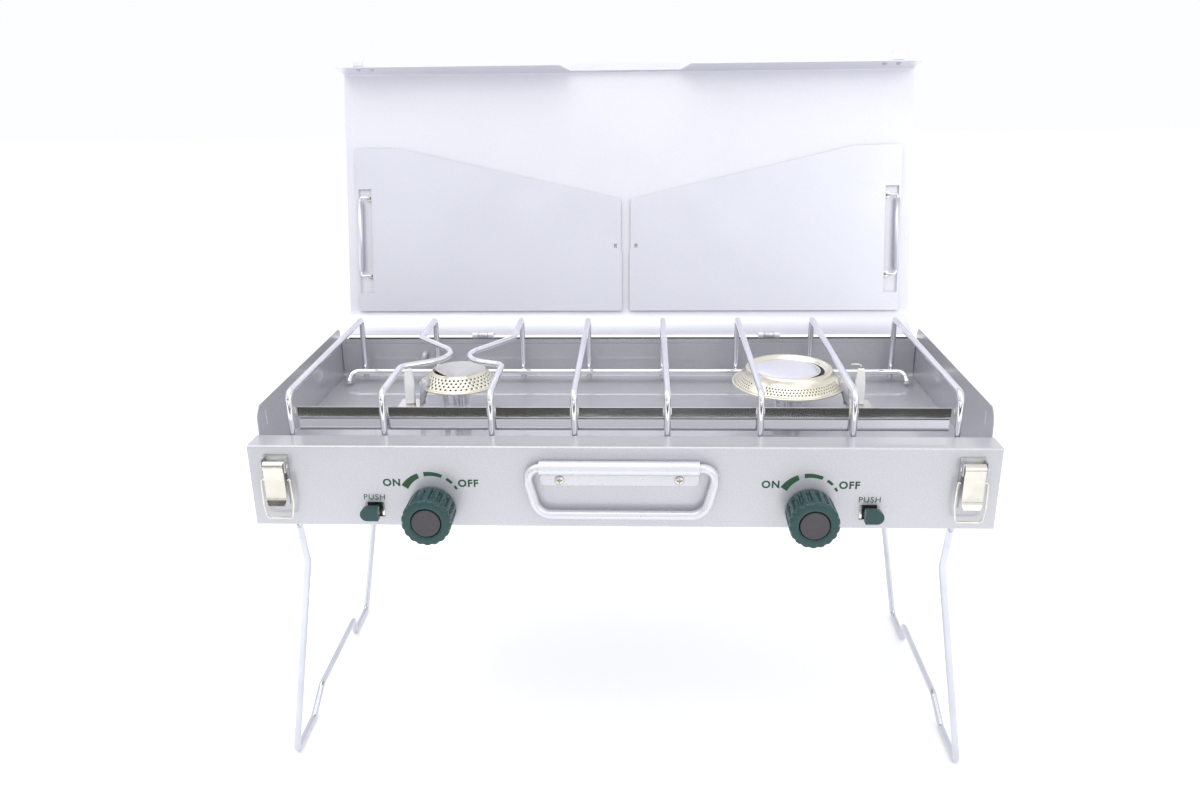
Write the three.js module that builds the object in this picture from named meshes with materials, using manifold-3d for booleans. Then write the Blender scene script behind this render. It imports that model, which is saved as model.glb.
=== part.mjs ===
// Two-burner folding camping stove, in millimetres, Z up, front towards -Y.
// While it is being built, y = 0 is the front face of the control panel.
import * as THREE from 'three';
import { mergeVertices } from 'three/addons/utils/BufferGeometryUtils.js';
import Module from 'manifold-3d';

const wasm = await Module();
wasm.setup();

// ---- driving dimensions ----
const clearance = 0.3; // between two pieces that touch
const footprintCentreY = 169; // moves the origin under the middle of the stove

const sheet = 0.9;
const halfWidth = 295; // outside of the casing
const panelBottom = 247;
const panelTop = 316.3;
const panelDepth = 24.4;

const wallTop = 338;
const wallFront = 27;
const casingBack = 267.5;
const rearWallTop = 326;
const hookSlot = { y: 46, low: 317, high: 330, width: 1.8 };

const trayFloor = 286.5; // upper face of the tray's floor
const trayRim = 321;

const burnerX = 149;
const burnerY = 140;
const smallBurner = { rim: 36, top: 23.2 };
const largeBurner = { rim: 50.5, top: 39 };
const burnerRimZ = 321.5;

const knobX = 150;
const knobZ = 263;
const knobLength = 28;
const leverX = 197.8;
const leverZ = 261.8;
const leverSlot = { inner: 188.9, outer: 202.5, low: 255.2, high: 268 };

const latchX = 272.5;
const latchPin = { y: -6, z: 301.5 };
const bailPin = { y: -6, z: 290 };
const latchHalfWidth = 9.7;
const latchLeverWidth = 16.4;

const handlePin = { y: -6, z: 301 };
const handleWire = 7.2;
const handleShift = 1.5; // the handle rests a little to the right in its bracket

const hinge = { x: 146, y: 267.5, z: 329.5 };
const lidOpening = 104.34; // degrees from closed to the resting open position
const lidReach = 270.7; // hinge line to the front flange
const lidRise = 33.7; // hinge line to the outer face of the plate
const lidHalfWidth = 293.6;
const lidFlange = 32.9;
const lidRoll = 27;

const windshieldAxis = { x: 278.5, v: 26.2 };
const windshieldV = 29.7; // mid-plane of the stored panel, above the hinge line
const windshieldBarrel = { low: 66, high: 139 };

const grateWire = 5.5;
const grateZ = 350.8;
const grateFront = 27.7;
const grateRear = 250.6;
const railZ = 297.6;
const railReach = 279.5;
const rodFoot = 288.4;

const legWire = 6;
const legPivot = { x: 269.8, z: 240 };
const legFoot = { x: 298.6, z: 2.84 };
const legKnee = { x: 266, z: 200.7 };
const legFront = 23.5;
const legRear = 270.8;

// ---- finishes ----
const finishes = {
  silver_paint: { color: 0xc3c5cd, roughness: 0.42, metalness: 0.35 },
  grey_enamel: { color: 0xa9acb5, roughness: 0.3, metalness: 0.4 },
  lid_paint: { color: 0xd9dbe6, roughness: 0.5, metalness: 0.25 },
  chrome_wire: { color: 0xd8dade, roughness: 0.12, metalness: 1 },
  stainless: { color: 0xd0c8b8, roughness: 0.3, metalness: 1 },
  nickel: { color: 0xc9c3b5, roughness: 0.2, metalness: 1 },
  zinc: { color: 0xb4b6b8, roughness: 0.45, metalness: 0.9 },
  ceramic: { color: 0xf4f4f2, roughness: 0.35, metalness: 0 },
  green_plastic: { color: 0x17453f, roughness: 0.25, metalness: 0 },
  grey_plastic: { color: 0x5a5156, roughness: 0.45, metalness: 0 },
  handle_paint: { color: 0xe2e4ec, roughness: 0.35, metalness: 0.2 },
};

const stove = new THREE.Group();

function add(name, geometry, finish, parent = stove) {
  const mesh = new THREE.Mesh(geometry, new THREE.MeshStandardMaterial(finishes[finish]));
  mesh.name = name;
  parent.add(mesh);
  return mesh;
}

// ---- solids ----
function solid(geometry) {
  const bare = geometry.index ? geometry.clone() : geometry;
  bare.deleteAttribute('normal');
  bare.deleteAttribute('uv');
  const merged = mergeVertices(bare, 1e-5);
  const mesh = new wasm.Mesh({
    numProp: 3,
    vertProperties: new Float32Array(merged.attributes.position.array),
    triVerts: new Uint32Array(merged.index.array),
  });
  return new wasm.Manifold(mesh);
}

function toGeometry(manifold) {
  const mesh = manifold.getMesh();
  const geometry = new THREE.BufferGeometry();
  geometry.setAttribute('position', new THREE.BufferAttribute(mesh.vertProperties, 3));
  geometry.setIndex(new THREE.BufferAttribute(mesh.triVerts, 1));
  geometry.computeVertexNormals();
  return geometry;
}

function cut(geometry, cutters) {
  return toGeometry(cutters.reduce((left, cutter) => left.subtract(solid(cutter)), solid(geometry)));
}

function join(geometries) {
  return toGeometry(geometries.map(solid).reduce((whole, piece) => whole.add(piece)));
}

// A box from its lowest to its highest corner.
function block(low, high) {
  const size = high.map((value, i) => value - low[i]);
  const box = new THREE.BoxGeometry(...size);
  return box.translate(...low.map((value, i) => value + size[i] / 2));
}

// A cylinder between two points.
function rod(from, to, radius, sides = 16) {
  const start = new THREE.Vector3(...from);
  const along = new THREE.Vector3(...to).sub(start);
  const cylinder = new THREE.CylinderGeometry(radius, radius, along.length(), sides);
  const turn = new THREE.Quaternion().setFromUnitVectors(
    new THREE.Vector3(0, 1, 0),
    along.clone().normalize(),
  );
  cylinder.applyQuaternion(turn);
  return cylinder.translate(...start.addScaledVector(along, 0.5).toArray());
}

// A closed outline of [radius, height] turned about a vertical axis.
function turned(outline, segments = 32) {
  const points = outline.map(([radius, height]) => new THREE.Vector2(radius, height));
  return new THREE.LatheGeometry(points, segments).rotateX(Math.PI / 2);
}

// Stations along straight runs with a round bend at each inner corner.
function bentStations(corners, bends, bendSteps) {
  const points = corners.map((corner) => new THREE.Vector3(...corner));
  const stations = [];
  const last = points.length - 1;
  const direction = (i) => points[i + 1].clone().sub(points[i]).normalize();
  stations.push({ point: points[0], tangent: direction(0) });
  for (let i = 1; i < last; i += 1) {
    const incoming = direction(i - 1);
    const outgoing = direction(i);
    const angle = incoming.angleTo(outgoing);
    const radius = Array.isArray(bends) ? bends[i - 1] : bends;
    const trim = radius * Math.tan(angle / 2);
    const inward = outgoing.clone().addScaledVector(incoming, -incoming.dot(outgoing)).normalize();
    const centre = points[i].clone().addScaledVector(incoming, -trim).addScaledVector(inward, radius);
    const steps = Math.max(2, Math.round((bendSteps * angle) / (Math.PI / 2)));
    for (let step = 0; step <= steps; step += 1) {
      const turn = (angle * step) / steps;
      stations.push({
        point: centre
          .clone()
          .addScaledVector(inward, -radius * Math.cos(turn))
          .addScaledVector(incoming, radius * Math.sin(turn)),
        tangent: incoming
          .clone()
          .multiplyScalar(Math.cos(turn))
          .addScaledVector(inward, Math.sin(turn)),
      });
    }
  }
  stations.push({ point: points[last], tangent: direction(last - 1) });
  return stations;
}

// A curve that takes one step from each station to the next.
class StationCurve extends THREE.Curve {
  constructor(stations) {
    super();
    this.stations = stations;
  }

  at(u) {
    return this.stations[Math.round(u * (this.stations.length - 1))];
  }

  getPoint(u) {
    return this.at(u).point.clone();
  }

  getPointAt(u) {
    return this.getPoint(u);
  }

  getTangentAt(u) {
    return this.at(u).tangent.clone();
  }
}

// Round wire or tube along straight runs with bends.
function wire(corners, diameter, bends, { sides = 8, bendSteps = 4 } = {}) {
  const stations = bentStations(corners, bends, bendSteps);
  const ring = Array.from({ length: sides }, (_, i) => {
    const angle = ((i + 0.5) * 2 * Math.PI) / sides;
    return new THREE.Vector2(Math.cos(angle), Math.sin(angle)).multiplyScalar(diameter / 2);
  });
  return new THREE.ExtrudeGeometry(new THREE.Shape(ring), {
    steps: stations.length - 1,
    extrudePath: new StationCurve(stations),
  });
}

// The section of a folded sheet whose mid-line runs through the corners.
function foldedOutline(corners, bends, thickness, bendSteps = 3) {
  const flat = corners.map(([a, b]) => [a, b, 0]);
  const side = (sign) =>
    bentStations(flat, bends, bendSteps).map(
      ({ point, tangent }) =>
        new THREE.Vector2(
          point.x - (sign * tangent.y * thickness) / 2,
          point.y + (sign * tangent.x * thickness) / 2,
        ),
    );
  return new THREE.Shape([...side(-1), ...side(1).reverse()]);
}

function prism(shape, depth) {
  return new THREE.ExtrudeGeometry(shape, { depth, bevelEnabled: false, curveSegments: 6 });
}

// Stands a prism drawn in (y, z) along X, starting at x.
function alongX(geometry, x) {
  const toYZX = new THREE.Matrix4().set(0, 0, 1, x, 1, 0, 0, 0, 0, 1, 0, 0, 0, 0, 0, 1);
  return geometry.applyMatrix4(toYZX);
}

// Stands a prism drawn in (x, z) along -Y, starting at y.
function alongY(geometry, y) {
  return geometry.rotateX(Math.PI / 2).translate(0, y, 0);
}

function polygon(points) {
  return new THREE.Shape(points.map(([a, b]) => new THREE.Vector2(a, b)));
}

const sides = { left: -1, right: 1 };

// ---- body: panel, casing, tray ----
function frontPanel() {
  const half = sheet / 2;
  const section = foldedOutline(
    [
      [10, panelBottom + half],
      [half, panelBottom + half],
      [half, panelTop - half],
      [panelDepth - half, panelTop - half],
      [panelDepth - half, panelTop - 9],
    ],
    1.3,
    sheet,
  );
  const body = alongX(prism(section, 2 * halfWidth), -halfWidth);
  const cutters = [];
  for (const side of Object.values(sides)) {
    const wallEdge = [side * (halfWidth - 1.2), side * (halfWidth + 2)].sort((a, b) => a - b);
    cutters.push(block([wallEdge[0], 1.2, panelBottom - 2], [wallEdge[1], 30, panelTop - 1.2]));
    cutters.push(rod([side * knobX, -5, knobZ], [side * knobX, 5, knobZ], 6, 24));
    const { inner, outer, low, high } = leverSlot;
    const slotEdge = [side * inner, side * outer].sort((a, b) => a - b);
    cutters.push(block([slotEdge[0], -5, low], [slotEdge[1], 5, high]));
  }
  return cut(body, cutters);
}

function casing() {
  const x = halfWidth - 0.4;
  const plan = foldedOutline(
    [
      [-x, 1.3],
      [-x, casingBack - 0.4],
      [x, casingBack - 0.4],
      [x, 1.3],
    ],
    2,
    0.8,
  );
  const wall = prism(plan, wallTop - panelBottom).translate(0, 0, panelBottom);
  const span = 2 * halfWidth + 20;
  const frontCorner = polygon([
    [-5, panelTop - 1.2],
    [wallFront, panelTop - 1.2],
    [wallFront, 327],
    [wallFront + 1, 331],
    [wallFront + 3.5, 335],
    [wallFront + 8, wallTop],
    [wallFront + 8, wallTop + 5],
    [-5, wallTop + 5],
  ]);
  const rearCorner = polygon([
    [265, rearWallTop],
    [265, 333],
    [263.5, 336.5],
    [260, wallTop],
    [260, wallTop + 5],
    [280, wallTop + 5],
    [280, rearWallTop],
  ]);
  const slot = block(
    [-halfWidth - 5, hookSlot.y - hookSlot.width / 2, hookSlot.low],
    [halfWidth + 5, hookSlot.y + hookSlot.width / 2, hookSlot.high],
  );
  return cut(wall, [
    alongX(prism(frontCorner, span), -span / 2),
    alongX(prism(rearCorner, span), -span / 2),
    slot,
  ]);
}

function dripTray() {
  const floor = trayFloor - 0.4;
  const section = foldedOutline(
    [
      [21.5, 304],
      [21.5, floor],
      [265.4, floor],
      [265.4, trayRim],
    ],
    [2, 5],
    0.8,
  );
  const width = 2 * (halfWidth - 1.5);
  const holes = Object.values(sides).map((side) =>
    rod([side * burnerX, burnerY, 270], [side * burnerX, burnerY, 300], 8.6, 24),
  );
  return cut(alongX(prism(section, width), -width / 2), holes);
}

// ---- burners and gas train ----
function burnerBowl({ rim }) {
  const cup = rim - 6;
  return turned([
    [7.2, 290],
    [9, 290],
    [9, 304],
    [cup - 6, 308],
    [cup, 314],
    [cup, 321],
    [cup - 1.2, 321],
    [cup - 1.2, 314.6],
    [cup - 6.6, 309.4],
    [7.2, 305.2],
    [7.2, 290],
  ]);
}

function smallHead({ rim, top }) {
  return turned([
    [rim - 7.5, burnerRimZ],
    [rim, burnerRimZ],
    [rim, burnerRimZ + 1.4],
    [rim - 3, burnerRimZ + 2.6],
    [top + 0.6, 333.4],
    [top - 2, 333.4],
    [top - 2, 332.2],
    [rim - 7.5, 323.4],
    [rim - 7.5, burnerRimZ],
  ]);
}

function smallCap({ top }) {
  return turned([
    [0, 322],
    [4, 322],
    [4, 333.8],
    [top, 333.8],
    [top, 335.2],
    [top - 1, 335.8],
    [0, 335.8],
  ]);
}

function largeHead({ rim, top }) {
  return turned([
    [rim - 8, burnerRimZ],
    [rim, burnerRimZ],
    [rim, burnerRimZ + 1.4],
    [rim - 3, burnerRimZ + 2.4],
    [top + 0.8, 332.4],
    [top - 1.6, 332.4],
    [top - 1.6, 331],
    [rim - 8, 323.6],
    [rim - 8, burnerRimZ],
  ]);
}

function largeCap({ top }) {
  return turned([
    [0, 322],
    [5, 322],
    [5, 331],
    [top - 8, 332.8],
    [top + 0.2, 332.8],
    [top, 335.6],
    [top - 1.6, 337.4],
    [top - 3.4, 336.6],
    [top - 8.2, 333.6],
    [top - 9.4, 333.8],
    [top - 13, 335],
    [0, 336.2],
  ]);
}

function igniterBracket(side, x) {
  const plate = block([x - 10, 108, 308.3], [x + 10, 129, 309.5]);
  const inner = x - side * 10;
  const [low, high] = [inner, inner + side * 1.2].sort((a, b) => a - b);
  const leg = block([low, 112, trayFloor + clearance], [high, 124, 309]);
  return join([plate, leg]);
}

function igniterElectrode(side, x) {
  const top = 342;
  const rodCentre = [x, 118.5];
  const ceramic = turned([
    [0, 309.8],
    [4.2, 309.8],
    [4.3, 320],
    [4.1, top - 9],
    [3, top],
    [0, top],
  ], 16).translate(...rodCentre, 0);
  const tip = wire(
    [
      [...rodCentre, top - 3],
      [...rodCentre, top + 4],
      [x - side * 9, 121, top + 3],
    ],
    1.8,
    2.2,
    { sides: 6, bendSteps: 3 },
  );
  return join([ceramic, tip]);
}

// The regulator and valve body, with its stem through the panel and its outlet block.
function governor() {
  const barrel = rod([0, 3, 0], [0, 50, 0], 15, 24);
  const stem = rod([0, -16, 0], [0, 4, 0], 3, 12);
  const outlet = block([-14, 44, 6], [14, 97, 21.5]);
  return join([barrel, stem, outlet]);
}

function canisterSocket() {
  return turned([
    [0, 250],
    [6, 250],
    [6, 262],
    [17, 262],
    [17, 246],
    [21, 246],
    [21, 268.6],
    [0, 268.6],
  ]);
}

function mixingTube(x) {
  const run = [
    [x, 97.4, 277],
    [x, burnerY, 277],
    [x, burnerY, 289.6],
  ];
  const past = [
    [x, 97, 277],
    [x, burnerY, 277],
    [x, burnerY, 290],
  ];
  return cut(wire(run, 14, 9, { sides: 12 }), [wire(past, 11.6, 9, { sides: 12 })]);
}

function piezoUnit(side) {
  const x = side * (leverX - 3);
  return join([
    block([x - 8, 11, 251.5], [x + 8, 46, 273]),
    rod([x, 7.6, 259], [x, 12, 259], 4, 12),
  ]);
}

// ---- controls ----
// A knob about the Z axis with the grip fluted along its length and a recess for the cap.
function knob() {
  const flutes = 18;
  const grip = turned(
    [
      [3.3, 0.8],
      [19.2, 0.8],
      [19.4, 4.5],
      [19.6, 6],
      [19.7, 25],
      [18.2, knobLength - 0.6],
      [16.6, knobLength],
      [11.7, knobLength],
      [11.7, knobLength - 2.4],
      [0, knobLength - 2.4],
      [0, 17],
      [3.3, 17],
      [3.3, 0.8],
    ],
    flutes * 4,
  );
  const position = grip.attributes.position;
  for (let i = 0; i < position.count; i += 1) {
    const [x, y, z] = [position.getX(i), position.getY(i), position.getZ(i)];
    const fluted = Math.hypot(x, y) > 15 && z > 5 && z < knobLength - 2;
    if (fluted) {
      const scale = 1 - 0.03 * (1 + Math.cos(flutes * Math.atan2(y, x)));
      position.setXYZ(i, x * scale, y * scale, z);
    }
  }
  return grip;
}

function knobCap() {
  return turned([
    [0, knobLength - 2.1],
    [11.3, knobLength - 2.1],
    [11.3, knobLength + 0.2],
    [10.6, knobLength + 0.7],
    [0, knobLength + 0.7],
  ]);
}

// Points a piece built along Z towards the front.
function faceFront(mesh, x, z) {
  mesh.rotation.x = Math.PI / 2;
  mesh.position.set(x, 0, z);
}

function pushLever(side) {
  const tab = polygon([
    [-5.8, -5.5],
    [4.5, -5.5],
    [7.5, -3.2],
    [8.5, 0],
    [7.5, 3.2],
    [4.5, 5.5],
    [-5.8, 5.5],
  ]);
  const button = prism(tab, 6.5);
  const plate = alongY(side > 0 ? button : button.rotateZ(Math.PI), -4.8);
  const stem = block([-4.6, -5, -1.5], [-0.6, 3, 3.5]);
  const facing = side > 0 ? stem : stem.rotateZ(Math.PI).translate(0, -2, 0);
  return join([plate, facing]).translate(side * leverX, 0, leverZ);
}

// ---- latches ----
function latchBase() {
  const half = latchHalfWidth;
  const plate = block([-half, -1.2, 284], [half, -clearance, 309]);
  const tail = block([-7.5, -1.2, 266], [7.5, -clearance, 285]);
  const ears = Object.values(sides).flatMap((side) => {
    const edges = [side * (half - 0.9), side * half].sort((a, b) => a - b);
    return [
      block([edges[0], -9, 296.5], [edges[1], -1, 307]),
      block([edges[0], -4, 285], [edges[1], -1, 297]),
    ];
  });
  const reach = half - 0.5;
  const pin = rod([-reach, latchPin.y, latchPin.z], [reach, latchPin.y, latchPin.z], 1.2, 10);
  return join([plate, tail, ...ears, pin]);
}

function latchLever() {
  const section = foldedOutline(
    [
      [-4.6, 304],
      [-8.5, 304],
      [-8.5, 273.5],
      [-10.9, 268.5],
    ],
    [2.4, 3],
    0.9,
  );
  return alongX(prism(section, latchLeverWidth), -latchLeverWidth / 2);
}

function latchBail() {
  const top = bailPin.z;
  return wire(
    [
      [-8.6, bailPin.y, top],
      [-11.5, bailPin.y, top],
      [-12.1, bailPin.y, 269],
      [-10.2, bailPin.y, 256.4],
      [10.2, bailPin.y, 256.4],
      [12.1, bailPin.y, 269],
      [11.5, bailPin.y, top],
      [8.6, bailPin.y, top],
    ],
    1.8,
    [1.2, 4, 3, 3, 4, 1.2],
    { sides: 6, bendSteps: 3 },
  );
}

// ---- carrying handle ----
function handleBracket() {
  const section = foldedOutline(
    [
      [-0.8, 284],
      [-0.8, 306.2],
      [-11.2, 306.2],
      [-11.2, 295.8],
      [-3.6, 295.8],
    ],
    4.6,
    0.9,
  );
  const half = 62.6;
  const corners = [-1, 1].map((edge) => {
    const corner = polygon([
      [edge * half, 284],
      [edge * (half - 2.8), 284],
      [edge * (half - 1.4), 284.4],
      [edge * (half - 0.4), 285.4],
      [edge * half, 286.8],
      [edge * (half + 1), 286.8],
      [edge * (half + 1), 283],
      [edge * (half - 2.8), 283],
    ]);
    return alongY(prism(corner, 3), 0.5);
  });
  return cut(alongX(prism(section, 2 * half), -half), corners);
}

function handle() {
  const { y, z } = handlePin;
  return wire(
    [
      [-4, y, z],
      [-76.2, y, z],
      [-65.6, y, 260.8],
      [65.6, y, 260.8],
      [76.2, y, z],
      [4, y, z],
    ],
    handleWire,
    [10, 14, 14, 10],
    { bendSteps: 5 },
  ).translate(handleShift, 0, 0);
}

// ---- lid, drawn closed: u runs from the hinge line to the front, v upwards ----
const lid = new THREE.Group();
lid.position.set(0, hinge.y, hinge.z);
lid.rotation.x = -THREE.MathUtils.degToRad(lidOpening);

// A prism drawn in (u, v), centred across the lid.
function acrossLid(shape, width) {
  return alongX(prism(shape, width), -width / 2).rotateZ(Math.PI);
}

function lidBlock(x, u, v) {
  return block([x[0], -u[1], v[0]], [x[1], -u[0], v[1]]);
}

function lidShell() {
  const plateV = lidRise - sheet / 2;
  const front = lidReach - sheet / 2;
  const lip = lidRise - lidFlange + sheet / 2;
  const section = foldedOutline(
    [
      [sheet / 2, 4.8],
      [sheet / 2, plateV],
      [front, plateV],
      [front, lip - sheet / 2],
    ],
    [lidRoll, 1.6],
    sheet,
    8,
  );
  const notch = polygon([
    [-68, -3],
    [68, -3],
    [57, 26],
    [-57, 26],
  ]);
  const notchCutter = alongY(prism(notch, 8), -lidReach + 5);
  const shell = cut(acrossLid(section, 2 * lidHalfWidth), [notchCutter]);
  const grip = lidBlock([-56, 56], [lidReach - sheet, lidReach + 6], [25.8, 26.7]);
  return join([shell, grip]);
}

function lidLeaf() {
  const plate = lidBlock([-11, 11], [1.2, 2.1], [4.4, 9]);
  const knuckles = Object.values(sides).flatMap((side) => {
    const edges = [side * 5.2, side * 11].sort((a, b) => a - b);
    return [
      rod([edges[0], 0, 0], [edges[1], 0, 0], 3.2, 14),
      lidBlock(edges, [1.2, 2.1], [0, 5]),
    ];
  });
  return join([plate, ...knuckles]);
}

function strike() {
  const out = lidReach + 0.7;
  const section = foldedOutline(
    [
      [out, 15],
      [out, 2],
      [out + 8, 2],
      [out + 8, 7],
    ],
    [1, 1.4],
    0.8,
  );
  return acrossLid(section, 11);
}

function windshieldWire(side) {
  const { x, v } = windshieldAxis;
  const [low, high] = [windshieldBarrel.low - 4, windshieldBarrel.high + 4];
  const eye = side * (x - 9.4);
  const plateV = lidRise - sheet - clearance;
  return wire(
    [
      [eye, -low, plateV],
      [eye, -low, v],
      [side * x, -low, v],
      [side * x, -high, v],
      [eye, -high, v],
      [eye, -high, plateV],
    ],
    2.4,
    [2.2, 2.2, 2.2, 2.2],
    { sides: 6, bendSteps: 3 },
  );
}

function windshield(side) {
  const outline = polygon([
    [282.6, -24.6],
    [4, -24.6],
    [4, -139.8],
    [233.5, -192.5],
    [283.4, -194],
  ]);
  const window = polygon([
    [267, -43.5],
    [280.6, -43.5],
    [280.6, -152],
    [267, -152],
  ]);
  outline.holes.push(window);
  const thickness = 0.8;
  const panel = prism(outline, thickness).translate(0, 0, windshieldV - thickness / 2);
  const { low, high } = windshieldBarrel;
  const { x, v } = windshieldAxis;
  const barrel = cut(rod([x, -low, v], [x, -high, v], 2.7, 14), [
    rod([x, -low + 1, v], [x, -high - 1, v], 1.5, 14),
  ]);
  const web = block([280.2, -high, v], [281.2, -low, windshieldV + 0.2]);
  const rightHand = join([panel, web, barrel]);
  return side > 0 ? rightHand : mirrored(rightHand);
}

// The same piece on the other side of x = 0.
function mirrored(geometry) {
  const flipped = solid(geometry).mirror([1, 0, 0]);
  return toGeometry(flipped);
}

function bodyHinge() {
  return join([
    rod([-4.8, 0, 0], [4.8, 0, 0], 3.2, 14),
    block([-11, 0.4, -30], [11, 1.4, -3.6]),
    block([-4.6, 0.4, -4.6], [4.6, 1.4, 0]),
  ]);
}

// ---- pot grate ----
const grateX = [-266.5, -191, -103.5, -36.5, 38, 112, 185.5, 267];
// How far a wire reaches inwards over the small burner, and where it does.
const waists = {
  1: { reach: 51.4, front: 96, middle: 126, rear: 184.7, bend: 28 },
  2: { reach: -45.2, front: 102, middle: 120.3, rear: 186.1, bend: 24 },
};

function grateRod(index) {
  const x = grateX[index];
  const waist = waists[index];
  const top = waist
    ? [
        [x, waist.front, grateZ],
        [x + waist.reach, waist.middle, grateZ],
        [x, waist.rear, grateZ],
      ]
    : [];
  return wire(
    [
      [x, grateFront, 290],
      [x, grateFront, grateZ],
      ...top,
      [x, grateRear, grateZ],
      [x, grateRear, rodFoot],
    ],
    grateWire,
    waist ? [7, 9, waist.bend, 9, 5] : [7, 5],
  );
}

function grateFrontRail() {
  const face = grateFront + grateWire / 2 + clearance + 0.6;
  const section = foldedOutline(
    [
      [face, 337.8],
      [face, 329],
      [face + 2, 327.3],
      [face + 2, 317.4],
    ],
    0.9,
    1.1,
  );
  return alongX(prism(section, 524), -262);
}

function grateRearRail() {
  const y = grateRear - grateWire / 2 - legWire / 2 - clearance;
  return wire(
    [
      [-railReach, y - 15, trayFloor + 4.2],
      [-railReach, y, railZ],
      [railReach, y, railZ],
      [railReach, y - 15, trayFloor + 4.2],
    ],
    legWire,
    8,
  );
}

// ---- legs ----
function leg(side) {
  const slope = (legFoot.x - legKnee.x) / (legKnee.z - legFoot.z);
  const raised = 25;
  const pivot = [side * legPivot.x, legPivot.z];
  const knee = [side * legKnee.x, legKnee.z];
  const foot = [side * legFoot.x, legFoot.z];
  const bar = [side * (legFoot.x - slope * (raised - legFoot.z)), raised];
  const at = ([x, z], y) => [x, y, z];
  return wire(
    [
      at(pivot, 140),
      at(pivot, legFront),
      at(knee, legFront),
      at(foot, legFront),
      at(foot, 74),
      at(bar, 96),
      at(bar, 211),
      at(foot, 222),
      at(foot, legRear),
      at(knee, legRear),
      at(pivot, legRear),
      at(pivot, 142),
    ],
    legWire,
    [7, 12, 7, 6, 6, 6, 6, 7, 12, 7],
  );
}

function legBracket() {
  const section = foldedOutline(
    [
      [293.2, 272],
      [293.2, 245.4],
      [265.2, 245.4],
      [265.2, 235.3],
      [273, 235.3],
    ],
    [2, 2, 2],
    0.9,
  );
  return alongY(prism(section, 190), 240);
}

// ---- assembly ----
add('front_panel', frontPanel(), 'silver_paint');
add('casing', casing(), 'silver_paint');
add('drip_tray', dripTray(), 'grey_enamel');
add('handle_bracket', handleBracket(), 'handle_paint');
add('carrying_handle', handle(), 'handle_paint');

const burners = {
  left: { size: smallBurner, head: smallHead, cap: smallCap, electrodeX: -190 },
  right: { size: largeBurner, head: largeHead, cap: largeCap, electrodeX: 208.5 },
};

for (const [label, side] of Object.entries(sides)) {
  const { size, head, cap, electrodeX } = burners[label];
  const centre = [side * burnerX, burnerY, 0];
  add(`burner_bowl_${label}`, burnerBowl(size), 'stainless').position.set(...centre);
  add(`burner_head_${label}`, head(size), 'stainless').position.set(...centre);
  add(`burner_cap_${label}`, cap(size), 'stainless').position.set(...centre);
  add(`mixing_tube_${label}`, mixingTube(side * burnerX), 'zinc');
  add(`igniter_bracket_${label}`, igniterBracket(side, electrodeX), 'nickel');
  add(`igniter_electrode_${label}`, igniterElectrode(side, electrodeX), 'ceramic');

  add(`governor_${label}`, governor(), 'zinc').position.set(side * knobX, 0, knobZ);
  add(`canister_socket_${label}`, canisterSocket(), 'zinc').position.set(side * knobX, 75, 0);
  add(`piezo_unit_${label}`, piezoUnit(side), 'grey_plastic');

  faceFront(add(`knob_${label}`, knob(), 'green_plastic'), side * knobX, knobZ);
  faceFront(add(`knob_cap_${label}`, knobCap(), 'grey_plastic'), side * knobX, knobZ);
  add(`push_lever_${label}`, pushLever(side), 'green_plastic');

  add(`latch_base_${label}`, latchBase(), 'nickel').position.x = side * latchX;
  add(`latch_lever_${label}`, latchLever(), 'nickel').position.x = side * latchX;
  add(`latch_bail_${label}`, latchBail(), 'nickel').position.x = side * latchX;

  add(`lid_hinge_${label}`, bodyHinge(), 'zinc').position.set(side * hinge.x, hinge.y, hinge.z);
  add(`lid_leaf_${label}`, lidLeaf(), 'lid_paint', lid).position.x = side * hinge.x;
  add(`strike_${label}`, strike(), 'nickel', lid).position.x = side * 270;
  add(`windshield_wire_${label}`, windshieldWire(side), 'chrome_wire', lid);
  add(`windshield_${label}`, windshield(side), 'lid_paint', lid);

  add(`leg_${label}`, leg(side), 'chrome_wire');
  const bracket = legBracket();
  add(`leg_bracket_${label}`, side > 0 ? bracket : mirrored(bracket), 'zinc');
}

add('lid_shell', lidShell(), 'lid_paint', lid);
stove.add(lid);

grateX.forEach((_, index) => add(`grate_wire_${index + 1}`, grateRod(index), 'chrome_wire'));
add('grate_front_rail', grateFrontRail(), 'chrome_wire');
add('grate_rear_rail', grateRearRail(), 'chrome_wire');

const group = new THREE.Group();
stove.position.y = -footprintCentreY;
group.add(stove);

export default group;
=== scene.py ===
import math

import bmesh
import bpy
from mathutils import Matrix, Vector, noise
from mathutils.geometry import tessellate_polygon


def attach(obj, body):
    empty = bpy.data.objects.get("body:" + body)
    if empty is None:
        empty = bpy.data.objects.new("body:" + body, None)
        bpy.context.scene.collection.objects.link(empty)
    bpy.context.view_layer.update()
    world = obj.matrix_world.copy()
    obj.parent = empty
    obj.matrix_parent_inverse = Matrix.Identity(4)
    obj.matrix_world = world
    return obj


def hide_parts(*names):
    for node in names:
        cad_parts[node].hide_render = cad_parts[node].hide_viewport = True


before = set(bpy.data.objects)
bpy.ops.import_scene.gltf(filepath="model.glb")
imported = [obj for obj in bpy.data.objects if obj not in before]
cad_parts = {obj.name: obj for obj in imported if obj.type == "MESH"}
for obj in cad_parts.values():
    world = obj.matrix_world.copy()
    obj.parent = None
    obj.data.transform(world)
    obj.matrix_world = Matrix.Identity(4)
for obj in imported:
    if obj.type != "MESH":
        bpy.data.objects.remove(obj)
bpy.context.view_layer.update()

# ---- the stove's own drawing frame: millimetres, y = 0 at the panel's front face ----
MM = 0.001
FOOTPRINT_Y = 169.0  # the frame's origin, front to back
HINGE_Y = 267.5
HINGE_Z = 329.5
LID_LEAN = math.radians(14.34)
SIDES = {"left": -1, "right": 1}
GRATE_X = [-266.5, -191.0, -103.5, -36.5, 38.0, 112.0, 185.5, 267.0]
GRATE_Z = 350.8
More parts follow.
